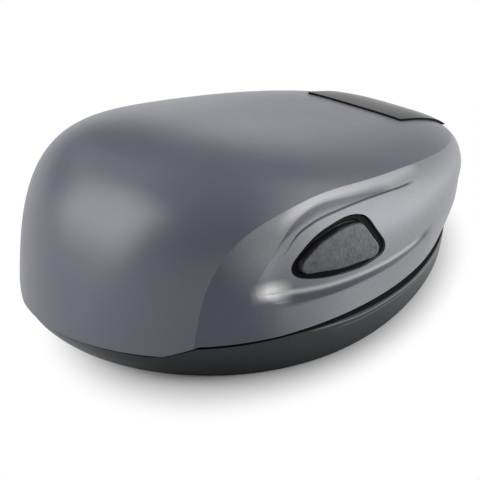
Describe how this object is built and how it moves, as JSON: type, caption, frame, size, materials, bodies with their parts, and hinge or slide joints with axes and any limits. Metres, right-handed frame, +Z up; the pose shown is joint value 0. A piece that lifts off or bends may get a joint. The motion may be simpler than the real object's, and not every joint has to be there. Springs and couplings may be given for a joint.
{
  "type": "pocket self-inking stamp",
  "caption": "Palm-sized stamp with a domed body, silver grip band, side release buttons and a hinged cover that holds the ink pad.",
  "frame": {"origin": "on the table, under the middle of the closed stamp", "axes": "+X to the right button, +Y to the finger end with the hinge, +Z up"},
  "size_m": [0.0542, 0.0796, 0.0274],
  "materials": {
    "dome": "soft touch, matt",
    "band": "silver lacquer, satin",
    "insert": "glossy",
    "inner_plastic": "fine grain",
    "screw_steel": "zinc plated",
    "die_plate": "fine grain",
    "die_foam": "foam",
    "die_rubber": "engraved rubber",
    "button": "fine grain",
    "button_pad": "pebbled grain",
    "ring": "black, slight gloss",
    "spring_steel": "drawn wire",
    "pin_steel": "drawn rod",
    "cover": "satin",
    "cartridge": "fine grain",
    "ink_pad": "soaked felt"
  },
  "bodies": {
    "body": {"dome_shell": "dome", "grip_band": "band", "top_insert": "insert", "chassis": "inner_plastic", "frame_screws": "screw_steel", "die_plate": "die_plate", "die_cushion": "die_foam", "rubber_die": "die_rubber", "right_button_ring": "ring", "left_button_ring": "ring", "right_button_spring": "spring_steel", "left_button_spring": "spring_steel", "hinge_pin": "pin_steel", "hinge_spring": "spring_steel"},
    "cover": {"cover_shell": "cover", "pad_frame": "inner_plastic", "cover_screws": "screw_steel", "pad_cartridge": "cartridge", "ink_pad": "ink_pad"},
    "right_button": {"right_button": "button", "right_button_pad": "button_pad"},
    "left_button": {"left_button": "button", "left_button_pad": "button_pad"}
  },
  "joints": [
    {"name": "cover_hinge", "type": "hinge", "parent": "body", "child": "cover", "pos_m": [0, 0.0376, 0.0074], "axis": [1, 0, 0], "range_deg": [0, 180]},
    {"name": "right_button_press", "type": "slide", "parent": "body", "child": "right_button", "axis": [-1, 0, 0], "range_m": [0, 0.0016], "stiffness_N_per_m": 600, "springref_m": -0.0005, "deforming": ["right_button_spring"]},
    {"name": "left_button_press", "type": "slide", "parent": "body", "child": "left_button", "axis": [1, 0, 0], "range_m": [0, 0.0016], "stiffness_N_per_m": 600, "springref_m": -0.0005, "deforming": ["left_button_spring"]}
  ]
}
